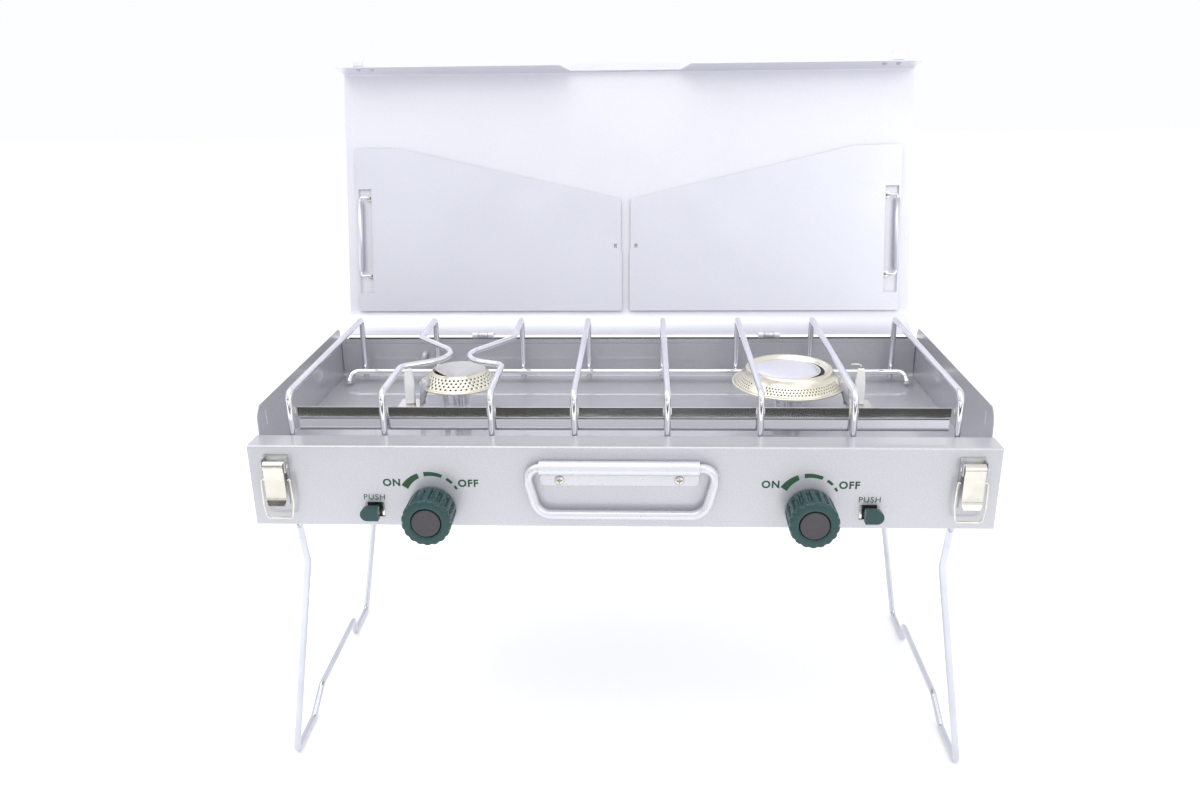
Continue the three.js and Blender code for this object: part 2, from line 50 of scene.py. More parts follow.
GRATE_FRONT = 27.7
GRATE_REAR = 250.6
BURNER_X = 149.0
BURNER_Y = 140.0
KNOB_X = 150.0
KNOB_Z = 263.0
LATCH_X = 272.5
JOIN_GAP = 0.002  # points nearer than this are one point


def at(x, y, z):
    """A point of the drawing frame in metres."""
    return Vector((x, y - FOOTPRINT_Y, z)) * MM


def on_lid(x, u, v):
    """A point of the open lid: u from the hinge line to the far edge, v outwards."""
    lean, rise = math.sin(LID_LEAN), math.cos(LID_LEAN)
    return at(x, HINGE_Y + u * lean + v * rise, HINGE_Z + u * rise - v * lean)


def standing(x, y=0.0):
    """Places a shape drawn about its own Z axis."""
    return lambda a, b, c: at(x + a, y + b, c)


def facing_front(x, z, y=0.0):
    """Places a shape drawn about Z so that its Z axis points to the front."""
    return lambda a, b, c: at(x + a, y - c, z + b)


def facing_back(y):
    """Places a flat shape upright, in the drawing frame's x and z, so that it grows to the back."""
    return lambda a, b, c: at(a, y + c, b)


# ---- mesh code: every shape is a pair of vertices and faces in millimetres ----
def merge(*shapes):
    verts, faces = [], []
    for shape_verts, shape_faces in shapes:
        base = len(verts)
        verts += list(shape_verts)
        faces += [tuple(i + base for i in face) for face in shape_faces]
    return verts, faces


def shift(shape, x=0.0, y=0.0, z=0.0):
    return [Vector(v) + Vector((x, y, z)) for v in shape[0]], shape[1]


def bent(corners, bends, steps=8):
    """Points along straight runs with a round bend at each inner corner."""
    points = [Vector(corner) for corner in corners]
    run = [points[0]]
    for i in range(1, len(points) - 1):
        incoming = (points[i] - points[i - 1]).normalized()
        outgoing = (points[i + 1] - points[i]).normalized()
        angle = incoming.angle(outgoing)
        radius = bends[i - 1] if isinstance(bends, (list, tuple)) else bends
        inward = (outgoing - incoming * incoming.dot(outgoing)).normalized()
        centre = points[i] - incoming * radius * math.tan(angle / 2) + inward * radius
        count = max(2, round(steps * angle / (math.pi / 2)))
        for step in range(count + 1):
            turn = angle * step / count
            run.append(centre - inward * radius * math.cos(turn) + incoming * radius * math.sin(turn))
    run.append(points[-1])
    return run


def bands(count, sides):
    """Faces between one closed ring of points and the next."""
    faces = []
    for ring in range(count - 1):
        for k in range(sides):
            a, b = ring * sides + k, ring * sides + (k + 1) % sides
            faces.append((a, b, b + sides, a + sides))
    return faces


def tube(points, radius, sides):
    """Round wire through the points, with softly rounded ends."""
    points = [Vector(p) for p in points]
    count = len(points)
    tangents = []
    for i in range(count):
        ahead = points[min(i + 1, count - 1)] - points[i]
        behind = points[i] - points[max(i - 1, 0)]
        tangents.append((ahead.normalized() + behind.normalized()).normalized())
    normal = tangents[0].orthogonal().normalized()
    stations = []
    for i in range(count):
        if i:
            turn = tangents[i - 1].rotation_difference(tangents[i])
            normal = (turn @ normal).normalized()
        stations.append((points[i], tangents[i], normal.copy()))
    ends = ((0.0, 0.62), (0.1, 0.86), (0.3, 1.0))
    rings = []
    start, finish = stations[0], stations[-1]
    for inset, scale in ends:
        rings.append((start[0] + start[1] * inset * radius, start[1], start[2], scale))
    rings += [(p, t, n, 1.0) for p, t, n in stations[1:-1]]
    for inset, scale in reversed(ends):
        rings.append((finish[0] - finish[1] * inset * radius, finish[1], finish[2], scale))
    verts = []
    for centre, tangent, side, scale in rings:
        other = tangent.cross(side)
        for k in range(sides):
            angle = 2 * math.pi * k / sides
            verts.append(centre + (side * math.cos(angle) + other * math.sin(angle)) * radius * scale)
    faces = bands(len(rings), sides)
    faces.append(tuple(reversed(range(sides))))
    faces.append(tuple(range(len(verts) - sides, len(verts))))
    return verts, faces


def soften(outline, radius, steps=3):
    """An open outline of (radius, height) pairs with its inner corners rounded."""
    result = [outline[0]]
    for i in range(1, len(outline) - 1):
        here = Vector(outline[i])
        before, after = Vector(outline[i - 1]) - here, Vector(outline[i + 1]) - here
        reach = min(radius, before.length * 0.45, after.length * 0.45)
        start, finish = here + before.normalized() * reach, here + after.normalized() * reach
        for step in range(steps + 1):
            t = step / steps
            point = start * (1 - t) ** 2 + here * 2 * t * (1 - t) + finish * t ** 2
            result.append(tuple(point))
    result.append(outline[-1])
    return result


def turned(outline, segments, reshape=None):
    """An outline of (radius, height) pairs turned about the Z axis; reshape may move a point."""
    verts = []
    for radius, height in outline:
        for k in range(segments):
            angle = 2 * math.pi * k / segments
            point = (radius * math.cos(angle), radius * math.sin(angle), height)
            verts.append(Vector(reshape(point, angle) if reshape else point))
    return verts, bands(len(outline), segments)


def perforated(rim, top, holed, columns, hole, is_open):
    """A conical skirt from rim to top, (radius, height) each, with staggered rows of round holes.

    holed gives where the holed part starts and ends, as shares of the slant, and its count of rows.
    """
    rim, top = Vector(rim), Vector(top)
    slant = (top - rim).length
    start, end, rows = holed
    span = (end - start) / rows
    verts, faces = [], []

    def point(s, turn):
        place = rim.lerp(top, s)
        angle = 2 * math.pi * turn / columns
        return Vector((place.x * math.cos(angle), place.x * math.sin(angle), place.y))

    def ring(s0, s1):
        for half in range(2 * columns):
            base = len(verts)
            a, b = half / 2, (half + 1) / 2
            verts.extend((point(s0, a), point(s0, b), point(s1, b), point(s1, a)))
            faces.append((base, base + 1, base + 2, base + 3))

    ring(0.0, start)
    border = ((-1, -1), (0, -1), (1, -1), (1, 0), (1, 1), (0, 1), (-1, 1), (-1, 0))
    for row in range(rows):
        middle = start + span * (row + 0.5)
        cell = 2 * math.pi * rim.lerp(top, middle).x / columns
        for column in range(columns):
            turn = column + 0.5 * (row % 2)
            base = len(verts)
            verts.extend(point(middle + v * span / 2, turn + u / 2) for u, v in border)
            if not is_open(turn / columns * 360.0):
                faces.append(tuple(range(base, base + 8)))
                continue
            for u, v in border:
                length = math.hypot(u, v)
                verts.append(
                    point(middle + v / length * hole / slant, turn + u / length * hole / cell)
                )
            for k in range(8):
                j = (k + 1) % 8
                faces.append((base + k, base + j, base + 8 + j, base + 8 + k))
    ring(end, 1.0)
    return verts, faces


def ribbon(section, half_widths, across=7):
    """A strip whose mid-line is the section in (y, z), with a half-width for each of its points."""
    verts, faces = [], []
    middle = (across - 1) / 2
    for (y, z), half in zip(section, half_widths):
        for step in range(across):
            verts.append(Vector((half * (step - middle) / middle, y, z)))
    for row in range(len(section) - 1):
        for k in range(across - 1):
            a = row * across + k
            faces.append((a, a + 1, a + across + 1, a + across))
    return verts, faces


def plate(loops, thickness):
    """A flat sheet in x and y, its outline first and then its holes, from z = 0 upwards."""
    flat = [[Vector((a, b, 0.0)) for a, b in loop] for loop in loops]
    points = [p for loop in flat for p in loop]
    count = len(points)
    verts = points + [p + Vector((0.0, 0.0, thickness)) for p in points]
    faces = []
    for a, b, c in tessellate_polygon(flat):
        faces += [(a, c, b), (a + count, b + count, c + count)]
    base = 0
    for loop in flat:
        size = len(loop)
        for k in range(size):
            a, b = base + k, base + (k + 1) % size
            faces.append((a, b, b + count, a + count))
        base += size
    return verts, faces


def rectangle(x0, y0, x1, y1):
    return [(x0, y0), (x1, y0), (x1, y1), (x0, y1)]


def rounded(outline, radius, steps=5):
    """A closed outline with every corner rounded."""
    result = []
    size = len(outline)
    for i in range(size):
        here = Vector(outline[i])
        before = Vector(outline[i - 1]) - here
        after = Vector(outline[(i + 1) % size]) - here
        reach = min(radius, before.length * 0.49, after.length * 0.49)
        start, finish = here + before.normalized() * reach, here + after.normalized() * reach
        for step in range(steps + 1):
            t = step / steps
            result.append(tuple(start * (1 - t) ** 2 + here * 2 * t * (1 - t) + finish * t ** 2))
    return result


def circle(x, y, radius, sides=24):
    return [
        (x + radius * math.cos(2 * math.pi * k / sides), y + radius * math.sin(2 * math.pi * k / sides))
        for k in range(sides)
    ]


def bead(centre, radii, seed):
    """A lump of weld metal."""
    verts = []
    rings, sides = 9, 14
    for ring in range(rings):
        tilt = math.pi * (ring + 0.5) / rings
        across = math.sin(tilt)
        for k in range(sides):
            turn = 2 * math.pi * k / sides
            way = Vector((across * math.cos(turn), across * math.sin(turn), math.cos(tilt)))
            lump = 1.0 + 0.16 * noise.noise(way * 2.0 + Vector((seed, 0.0, 0.0)))
            verts.append(Vector(centre) + Vector(w * s for w, s in zip(way, radii)) * lump)
    faces = bands(rings, sides)
    faces.append(tuple(reversed(range(sides))))
    faces.append(tuple(range((rings - 1) * sides, rings * sides)))
    return verts, faces


def outward_mesh(name, points, faces, gap):
    """A mesh with points nearer than the gap joined and its faces turned outwards."""
    mesh = bpy.data.meshes.new(name)
    mesh.from_pydata(points, [], faces)
    work = bmesh.new()
    work.from_mesh(mesh)
    bmesh.ops.remove_doubles(work, verts=work.verts, dist=gap)
    bmesh.ops.recalc_face_normals(work, faces=work.faces)
    work.to_mesh(mesh)
    work.free()
    return mesh


def linked(name, data):
    """An object of the data, in the scene."""
    obj = bpy.data.objects.new(name, data)
    bpy.context.scene.collection.objects.link(obj)
    return obj


def carved(shape, cutter):
    """A shape with another one cut out of it."""
    whole, tool = (
        linked(name, outward_mesh(name, [tuple(v) for v in verts], faces, JOIN_GAP))
        for name, (verts, faces) in (("carved", shape), ("cutter", cutter))
    )
    cut = whole.modifiers.new("cut", "BOOLEAN")
    cut.operation = "DIFFERENCE"
    cut.solver = "EXACT"
    cut.object = tool
    bpy.context.view_layer.update()
    solid = whole.evaluated_get(bpy.context.evaluated_depsgraph_get())
    result = bpy.data.meshes.new_from_object(solid)
    for obj in (whole, tool):
        bpy.data.objects.remove(obj)
    return [v.co.copy() for v in result.vertices], [tuple(f.vertices) for f in result.polygons]


def ease(t):
    """A smooth step from 0 to 1."""
    t = min(1.0, max(0.0, t))
    return t * t * (3.0 - 2.0 * t)


# ---- materials ----
def surface(name, color, roughness, metallic, fleck=0.0, fleck_scale=900.0, cloud=0.05,
            cloud_scale=9.0, grain=0.0, grain_scale=400.0, stretch=(1.0, 1.0, 1.0), rough_spread=0.06,
            coat=0.0, coat_roughness=0.1):
    """A finish whose colour, roughness and relief vary over the object.

    fleck is a fine variation of the colour, cloud a broad one, and grain a relief.
    """
    material = bpy.data.materials.new(name)
    material.use_nodes = True
    nodes, links = material.node_tree.nodes, material.node_tree.links
    shader = nodes["Principled BSDF"]
    shader.inputs["Metallic"].default_value = metallic
    shader.inputs["Coat Weight"].default_value = coat
    shader.inputs["Coat Roughness"].default_value = coat_roughness
    place = nodes.new("ShaderNodeTexCoord")
    mapping = nodes.new("ShaderNodeMapping")
    mapping.inputs["Scale"].default_value = stretch
    links.new(place.outputs["Object"], mapping.inputs["Vector"])

    def texture(scale, detail):
        node = nodes.new("ShaderNodeTexNoise")
        node.inputs["Scale"].default_value = scale
        node.inputs["Detail"].default_value = detail
        links.new(mapping.outputs["Vector"], node.inputs["Vector"])
        return node.outputs["Fac"]

    def ramp(source, low, high):
        node = nodes.new("ShaderNodeMapRange")
        node.inputs["From Min"].default_value = 0.3
        node.inputs["From Max"].default_value = 0.7
        node.inputs["To Min"].default_value = low
        node.inputs["To Max"].default_value = high
        links.new(source, node.inputs["Value"])
        return node.outputs["Result"]

    def multiply(a, b):
        node = nodes.new("ShaderNodeMath")
        node.operation = "MULTIPLY"
        links.new(a, node.inputs[0])
        links.new(b, node.inputs[1])
        return node.outputs["Value"]

    shade = ramp(texture(cloud_scale, 3.0), 1.0 - cloud, 1.0 + cloud)
    if fleck:
        shade = multiply(shade, ramp(texture(fleck_scale, 1.0), 1.0 - fleck, 1.0 + fleck))
    tint = nodes.new("ShaderNodeVectorMath")
    tint.operation = "SCALE"
    tint.inputs[0].default_value = color
    links.new(shade, tint.inputs["Scale"])
    links.new(tint.outputs["Vector"], shader.inputs["Base Color"])
    wear = texture(cloud_scale * 2.3, 4.0)
    links.new(ramp(wear, roughness - rough_spread, roughness + rough_spread),
              shader.inputs["Roughness"])
    if grain:
        bump = nodes.new("ShaderNodeBump")
        bump.inputs["Strength"].default_value = grain
        bump.inputs["Distance"].default_value = 0.0002
        links.new(texture(grain_scale, 3.0), bump.inputs["Height"])
        links.new(bump.outputs["Normal"], shader.inputs["Normal"])
    return material


FINISHES = {
    "silver": surface("silver_paint", (0.54, 0.545, 0.58), 0.36, 0.5, fleck=0.08, fleck_scale=1100.0,
                      cloud=0.02, grain=0.06, grain_scale=900.0, coat=0.6, coat_roughness=0.1),
    "tray": surface("grey_enamel", (0.49, 0.495, 0.53), 0.38, 0.35, fleck=0.05, fleck_scale=1100.0,
                    cloud=0.02, grain=0.03, grain_scale=500.0, coat=1.0, coat_roughness=0.035),
    "lid": surface("lid_paint", (0.72, 0.725, 0.785), 0.40, 0.45, fleck=0.03, fleck_scale=1100.0,
                   cloud=0.01, grain=0.03, grain_scale=900.0, coat=0.15, coat_roughness=0.3),
    "shield": surface("shield_paint", (0.67, 0.68, 0.75), 0.34, 0.6, fleck=0.03, fleck_scale=1100.0,
                      cloud=0.01, coat=0.15, coat_roughness=0.3),
    "leg": surface("leg_wire", (0.62, 0.64, 0.70), 0.22, 1.0, cloud=0.05, cloud_scale=30.0,
                   grain=0.05, grain_scale=260.0, rough_spread=0.035),
    "chrome": surface("chrome_wire", (0.80, 0.80, 0.84), 0.10, 1.0, cloud=0.05, cloud_scale=30.0,
                      grain=0.10, grain_scale=260.0, rough_spread=0.035),
    "rail": surface("chrome_sheet", (0.70, 0.70, 0.72), 0.08, 1.0, cloud=0.06, cloud_scale=14.0,
                    grain=0.06, grain_scale=300.0, stretch=(0.25, 1.0, 1.0), rough_spread=0.03),
    "weld": surface("weld_tint", (0.76, 0.71, 0.60), 0.24, 1.0, fleck=0.15, fleck_scale=500.0,
                    cloud=0.15, cloud_scale=220.0, grain=0.5, grain_scale=700.0),
    "stainless": surface("stainless", (0.80, 0.76, 0.65), 0.30, 0.95, fleck=0.04, fleck_scale=700.0,
                         cloud=0.09, cloud_scale=34.0, grain=0.15, grain_scale=500.0),
    "disc": surface("burner_disc", (0.62, 0.61, 0.60), 0.42, 0.8, fleck=0.04, fleck_scale=600.0,
                    cloud=0.05, cloud_scale=30.0, grain=0.12, grain_scale=700.0),
    # dark that paints the shade inside the burners and in the gap round the large disc
    "inner_shade": surface("painted_burner_shade", (0.035, 0.033, 0.03), 0.7, 0.3, cloud=0.3, cloud_scale=60.0),
    "nickel": surface("nickel", (0.71, 0.69, 0.625), 0.18, 1.0, cloud=0.06, cloud_scale=40.0,
                      grain=0.08, grain_scale=400.0, rough_spread=0.05),
    "bright": surface("bright_disc", (0.84, 0.84, 0.86), 0.2, 0.95, fleck=0.03, fleck_scale=500.0,
                      cloud=0.05, cloud_scale=40.0, grain=0.12, grain_scale=300.0),
    "zinc_bright": surface("bright_zinc", (0.82, 0.83, 0.87), 0.3, 0.9, fleck=0.05, fleck_scale=300.0,
                           cloud=0.06, cloud_scale=40.0, grain=0.1, grain_scale=400.0),
    # dark nickel that paints the shade in the screws' recesses
    "painted_recess_shade": surface("nickel_painted_shade", (0.34, 0.32, 0.32), 0.3, 1.0, cloud=0.08, cloud_scale=40.0),
    "zinc": surface("zinc", (0.55, 0.56, 0.58), 0.42, 0.95, fleck=0.10, fleck_scale=160.0,
                    cloud=0.10, cloud_scale=30.0, grain=0.2, grain_scale=350.0),
    "ceramic": surface("ceramic", (0.96, 0.96, 0.96), 0.22, 0.0, cloud=0.03, cloud_scale=60.0,
                       grain=0.05, coat=0.4, coat_roughness=0.08),
    "green": surface("green_plastic", (0.006, 0.046, 0.046), 0.3, 0.0, fleck=0.04, fleck_scale=700.0,
                     cloud=0.06, cloud_scale=60.0, coat=0.12, coat_roughness=0.08),
    "cap": surface("grey_plastic", (0.050, 0.046, 0.052), 0.42, 0.0, fleck=0.12, fleck_scale=900.0,
                   cloud=0.06, cloud_scale=70.0, grain=0.2, grain_scale=1100.0),
    # black that paints shade: behind the push levers' slots and in the gap under the lid
    "dark_shade": surface("painted_shade_dark", (0.012, 0.012, 0.012), 0.45, 0.0, cloud=0.2, cloud_scale=90.0,
                     grain=0.2, grain_scale=800.0),
    "handle": surface("handle_paint", (0.66, 0.67, 0.71), 0.3, 0.5, fleck=0.03, fleck_scale=1100.0,
                      cloud=0.01, cloud_scale=20.0, grain=0.02, grain_scale=700.0, coat=0.3,
                      coat_roughness=0.15),
    "ink": surface("green_ink", (0.012, 0.070, 0.030), 0.5, 0.0, fleck=0.15, fleck_scale=900.0,
                   cloud=0.08, cloud_scale=80.0),
}


# ---- pieces ----
def piece(name, shape, body, finish, replaces=(), sharp=32.0, bevel=0.0, place=at, skin=0.0):
    """One object: its shape goes through place into metres, and it rides on a body.

    sharp is the angle from which an edge stays sharp, bevel an edge radius and skin a sheet's thickness.
    """
    verts, faces = shape
    mesh = outward_mesh(name, [tuple(place(*v)) for v in verts], faces, JOIN_GAP * MM)
    mesh.shade_smooth()
    mesh.set_sharp_from_angle(angle=math.radians(sharp))
    mesh.materials.append(FINISHES[finish])
    obj = linked(name, mesh)
    if skin:
        solidify = obj.modifiers.new("skin", "SOLIDIFY")
        solidify.thickness = skin * MM
        solidify.offset = 0.0
    if bevel:
        add_bevel(obj, bevel)
        add_flat_shading(obj)
    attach(obj, body)
    if replaces:
        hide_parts(*replaces)


def add_bevel(obj, width, segments=3):
    """Rounds every edge between faces that meet at more than 38 degrees."""
    bevel = obj.modifiers.new("bevel", "BEVEL")
    bevel.width = width * MM
    bevel.segments = segments
    bevel.limit_method = "ANGLE"
    bevel.angle_limit = math.radians(38.0)
    bevel.harden_normals = True
    bevel.use_clamp_overlap = True


def add_flat_shading(obj):
    """Corner normals that follow the large faces, so that sheets look flat."""
    flat = obj.modifiers.new("flat", "WEIGHTED_NORMAL")
    flat.weight = 100
    flat.keep_sharp = True


def smooth_group():
    """Geometry nodes that shade smooth across shallow edges."""
    group = bpy.data.node_groups.new("smooth_by_angle", "GeometryNodeTree")
    group.interface.new_socket("Geometry", in_out="INPUT", socket_type="NodeSocketGeometry")
    group.interface.new_socket("Geometry", in_out="OUTPUT", socket_type="NodeSocketGeometry")
    nodes, links = group.nodes, group.links
    source, sink = nodes.new("NodeGroupInput"), nodes.new("NodeGroupOutput")
    faces, edges = nodes.new("GeometryNodeSetShadeSmooth"), nodes.new("GeometryNodeSetShadeSmooth")
    faces.domain, edges.domain = "FACE", "EDGE"
    edges.inputs["Shade Smooth"].default_value = False
    angle = nodes.new("GeometryNodeInputMeshEdgeAngle")
    compare = nodes.new("FunctionNodeCompare")
    compare.operation = "GREATER_THAN"
    compare.inputs["B"].default_value = math.radians(34.0)
    links.new(angle.outputs["Unsigned Angle"], compare.inputs["A"])
    links.new(source.outputs[0], faces.inputs["Geometry"])
    links.new(faces.outputs[0], edges.inputs["Geometry"])
    links.new(compare.outputs[0], edges.inputs["Selection"])
    links.new(edges.outputs[0], sink.inputs[0])
    return group


SMOOTH = smooth_group()


def keep(node, finish, bevel):
    """A CAD node that stays: a finish, softened edges and smooth bends."""
    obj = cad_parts[node]
    if obj.material_slots:
        for slot in obj.material_slots:
            slot.material = FINISHES[finish]
    else:
        obj.data.materials.append(FINISHES[finish])
    weld = obj.modifiers.new("weld", "WELD")
    weld.merge_threshold = 0.001 * MM
    planes = obj.modifiers.new("planes", "DECIMATE")
    planes.decimate_type = "DISSOLVE"
    planes.angle_limit = math.radians(0.5)
    add_bevel(obj, bevel, 2)
    smooth = obj.modifiers.new("smooth", "NODES")
    smooth.node_group = SMOOTH
    add_flat_shading(obj)


# ---- the CAD nodes of the body: finish and edge radius ----
BODY_NODES = {
    "front_panel": ("silver", 0.2),
    "casing": ("silver", 0.2),
    "drip_tray": ("tray", 0.2),
    "handle_bracket": ("handle", 0.2),
}
SIDE_NODES = {
    "mixing_tube": ("zinc", 0.4),
    "governor": ("zinc", 0.6),
    "canister_socket": ("zinc", 0.4),
    "piezo_unit": ("cap", 0.5),
    "igniter_bracket": ("nickel", 0.2),
    "latch_base": ("zinc", 0.15),
    "lid_hinge": ("zinc", 0.2),
    "lid_leaf": ("lid", 0.2),
    "leg_bracket": ("zinc", 0.2),
}

for node, (finish, edge) in BODY_NODES.items():
    keep(node, finish, edge)
for label in SIDES:
    for node, (finish, edge) in SIDE_NODES.items():
        keep(f"{node}_{label}", finish, edge)


# ---- knobs ----
KNOB_LENGTH = 28.0
KNOB_FLUTES = 18
FLUTE_DEPTH = 2.2
FLUTE_STEPS = 16


def knob_shape():
    """The grip about the Z axis, with flutes that run out before the front rim."""
    outline = soften(
        [(3.4, 1.0), (18.9, 1.0), (19.2, 2.6), (19.3, 4.0), (19.4, 6.0), (19.5, 12.0), (19.6, 18.0),
         (19.6, 20.0), (19.6, 21.0), (19.7, 22.0), (19.7, 23.0), (19.7, 24.0), (19.7, 25.4),
         (19.4, 27.0), (18.3, KNOB_LENGTH), (13.4, KNOB_LENGTH + 0.1), (11.9, 27.5), (11.6, 25.7),
         (0.0, 25.7)],
        0.8, 4,
    )

    def reshape(point, angle):
        x, y, z = point
        radius = math.hypot(x, y)
        if radius < 15.0:
            return point
        depth = ease((z - 2.2) / 2.4) * (1.0 - 0.72 * ease((z - 20.4) / 3.2))
        depth *= ease((radius - 16.6) / 2.2)
        groove = ease((math.cos(KNOB_FLUTES * angle) + 0.2) / 0.8)
        scale = 1.0 - FLUTE_DEPTH * depth * groove / radius
        return x * scale, y * scale, z

    return turned(outline, KNOB_FLUTES * FLUTE_STEPS, reshape)


def add_knob(label, side):
    """The fluted grip with the cap in its front."""
    body = f"knob_{label}"
    place = facing_front(side * KNOB_X, KNOB_Z)
    piece(f"knob_grip_{label}", knob_shape(), body, "green", [f"knob_{label}"],
          sharp=50.0, place=place)
    cap = turned(soften([(0.0, 25.9), (11.3, 25.9), (11.4, 27.6), (10.9, 28.55), (8.0, 28.35),
                         (0.0, 28.2)], 0.5, 4), 64)
    piece(f"knob_disc_{label}", cap, body, "cap", [f"knob_cap_{label}"], place=place)


# ---- print on the panel ----
FLOW_RADIUS = 26.0
FLOW_Z = 268.6
FLOW_SHIFT = -2.0
# each mark: its start and end in degrees from +X, and its width there
FLOW_MARKS = [
    (146.4, 109.0, 6.1, 4.3),
    (98.0, 63.6, 3.8, 2.8),
    (54.0, 41.0, 2.4, 2.1),
    (33.6, 26.0, 2.0, 1.8),
]
PRINT_Y = -0.04
LETTER_Y = -0.06


def arc_mark(centre_x, start, finish, wide, narrow):
    """A printed mark along the knob's turn that gets narrower."""
    steps = max(3, round(abs(start - finish) / 3))
    rim, inner = [], []
    for step in range(steps + 1):
        t = step / steps
        angle = math.radians(start + (finish - start) * t)
        width = wide + (narrow - wide) * t
        for ring, radius in ((rim, FLOW_RADIUS), (inner, FLOW_RADIUS - width)):
            ring.append((centre_x + radius * math.cos(angle), FLOW_Z + radius * math.sin(angle)))
    return plate([rim + inner[::-1]], 0.05)


def lettering(name, text, x, z, height, boldness):
    """A small word on the panel."""
    curve = bpy.data.curves.new(name, "FONT")
    curve.body = text
    curve.align_x = "CENTER"
    curve.align_y = "CENTER"
    curve.size = height / 0.7 * MM
    curve.offset = boldness * MM
    curve.extrude = 0.025 * MM
    curve.space_character = 1.14
    curve.resolution_u = 4
    maker = linked(name, curve)
    mesh = bpy.data.meshes.new_from_object(maker)
    bpy.data.objects.remove(maker)
    mesh.transform(Matrix.Translation(at(x, LETTER_Y, z)) @ Matrix.Rotation(math.pi / 2, 4, "X"))
    mesh.materials.clear()
    mesh.materials.append(FINISHES["ink"])
    obj = linked(name, mesh)
    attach(obj, "body")


def add_print(label, side):
    """The flow scale over a knob and the words beside it."""
    centre = side * KNOB_X
    marks = [arc_mark(centre + FLOW_SHIFT, *mark) for mark in FLOW_MARKS]
    piece(f"flow_scale_{label}", merge(*marks), "body", "ink",
          place=facing_front(0.0, 0.0, PRINT_Y))
    lettering(f"on_word_{label}", "ON", centre - 31.4, 284.9, 6.0, 0.3)
    lettering(f"off_word_{label}", "OFF", centre + 29.8, 284.5, 6.0, 0.3)
    lettering(f"push_word_{label}", "PUSH", side * 196.4, 272.2, 4.8, 0.02)


# ---- push levers ----
PUSH_X = 197.8
PUSH_Z = 261.8
TAB_HALF = 5.5
TAB_INNER = -5.8


def add_push_lever(label, side):
    """A tab with a round outer end on a stem, and the slot that it moves in, with a black plate behind it as
    painted shade.
    """
    place = facing_front(side * PUSH_X, PUSH_Z, -5.0)
    turns = [math.radians(-90.0 + 12.0 * k) for k in range(16)]
    round_end = [(3.0 + TAB_HALF * math.cos(t), TAB_HALF * math.sin(t)) for t in turns]
    tab = [(side * a, b) for a, b in [(TAB_INNER, -TAB_HALF), *round_end, (TAB_INNER, TAB_HALF)]]
    piece(f"push_button_{label}", plate([tab], 6.3), f"push_lever_{label}", "green",
          [f"push_lever_{label}"], bevel=0.9, place=place)
    stem = rectangle(side * -4.4, -1.5, side * -0.8, 3.5)
    piece(f"push_stem_{label}", shift(plate([stem], 7.0), z=-6.8), f"push_lever_{label}",
          "green", bevel=0.3, place=place)
    # a black plate behind the slot, with a hole for the stem: painted shade in the slot
    shade_plate = [rectangle(side * 187.4, 253.8, side * 204.0, 269.4),
             rectangle(side * 193.0, 259.9, side * 197.4, 265.7)]
    piece(f"slot_shade_{label}", plate(shade_plate, 3.0), "body", "dark_shade",
          bevel=0.2, place=facing_back(1.6))
    tongue = rectangle(side * 189.3, 255.6, side * 191.3, 267.6)
    piece(f"lever_tongue_{label}", plate([tongue], 0.5), "body", "nickel",
          bevel=0.1, place=facing_back(1.0))


for label, side in SIDES.items():
    add_knob(label, side)
    add_print(label, side)
    add_push_lever(label, side)


# ---- latches ----
PIN_Y = -6.0
PIN_Z = 301.5
ROLL_RADIUS = 4.0
BAIL_RADIUS = 0.9


def latch_profile():
    """The plate from the side as (y, z) with its half-widths: a roll round the pin, a face, a lip."""
    roll = []
    for step in range(17):
        angle = math.radians(-30.0 + 228.0 * step / 16)
        roll.append((PIN_Y + ROLL_RADIUS * math.cos(angle), PIN_Z + ROLL_RADIUS * math.sin(angle)))
    face = [(-9.2, 297.6), (-8.9, 295.6), (-8.8, 290.0), (-8.8, 282.0), (-8.8, 275.4)]
    lip = [(-9.0, 274.0), (-9.5, 272.5), (-10.3, 270.3), (-10.6, 269.4), (-10.8, 268.8)]
    return roll + face + lip, [8.2] * len(roll) + [8.1] * len(face) + [8.1, 7.8, 7.2, 6.7, 5.9]


def mirrored(half, y):
    """A run of points from left to right, made from its right half as (x, z)."""
    return [(-x, y, z) for x, z in half] + [(x, y, z) for x, z in reversed(half)]


def add_latch(label, side):
    """The latch plate, its wire bail and the rivets of its pin."""
    place = standing(side * LATCH_X)
    piece(f"latch_plate_{label}", ribbon(*latch_profile()), f"latch_lever_{label}", "nickel",
          [f"latch_lever_{label}"], sharp=60.0, place=place, skin=0.7, bevel=0.12)
    top = 290.0
    bail = bent(mirrored([(8.6, top), (11.5, top), (12.1, 269.0), (10.2, 256.4)], PIN_Y),
                [1.4, 4.0, 3.0, 3.0, 4.0, 1.4])
    piece(f"latch_wire_{label}", tube(bail, BAIL_RADIUS, 14), f"latch_bail_{label}", "nickel",
          [f"latch_bail_{label}"], sharp=80.0, place=place)
    rivets = [tube([(edge * 9.6, PIN_Y, PIN_Z), (edge * 10.9, PIN_Y, PIN_Z)], 1.8, 18)
              for edge in (-1, 1)]
    piece(f"latch_rivets_{label}", merge(*rivets), "body", "nickel", place=place)


for label, side in SIDES.items():
    add_latch(label, side)


# ---- carrying handle ----
HANDLE_TOP = 301.0
HANDLE_RADIUS = 3.6
SCREW_X = 47.2
SCREW_Z = 288.6


def add_handle():
    """The wire loop, a little off the panel's middle."""
    loop = mirrored([(4.0, HANDLE_TOP), (76.2, HANDLE_TOP), (65.6, 260.8)], -6.0)
    wire = tube(bent(loop, [10.0, 14.0, 14.0, 10.0], 12), HANDLE_RADIUS, 28)
    piece("handle_loop", wire, "carrying_handle", "handle", ["carrying_handle"],
          sharp=80.0, place=standing(1.5))


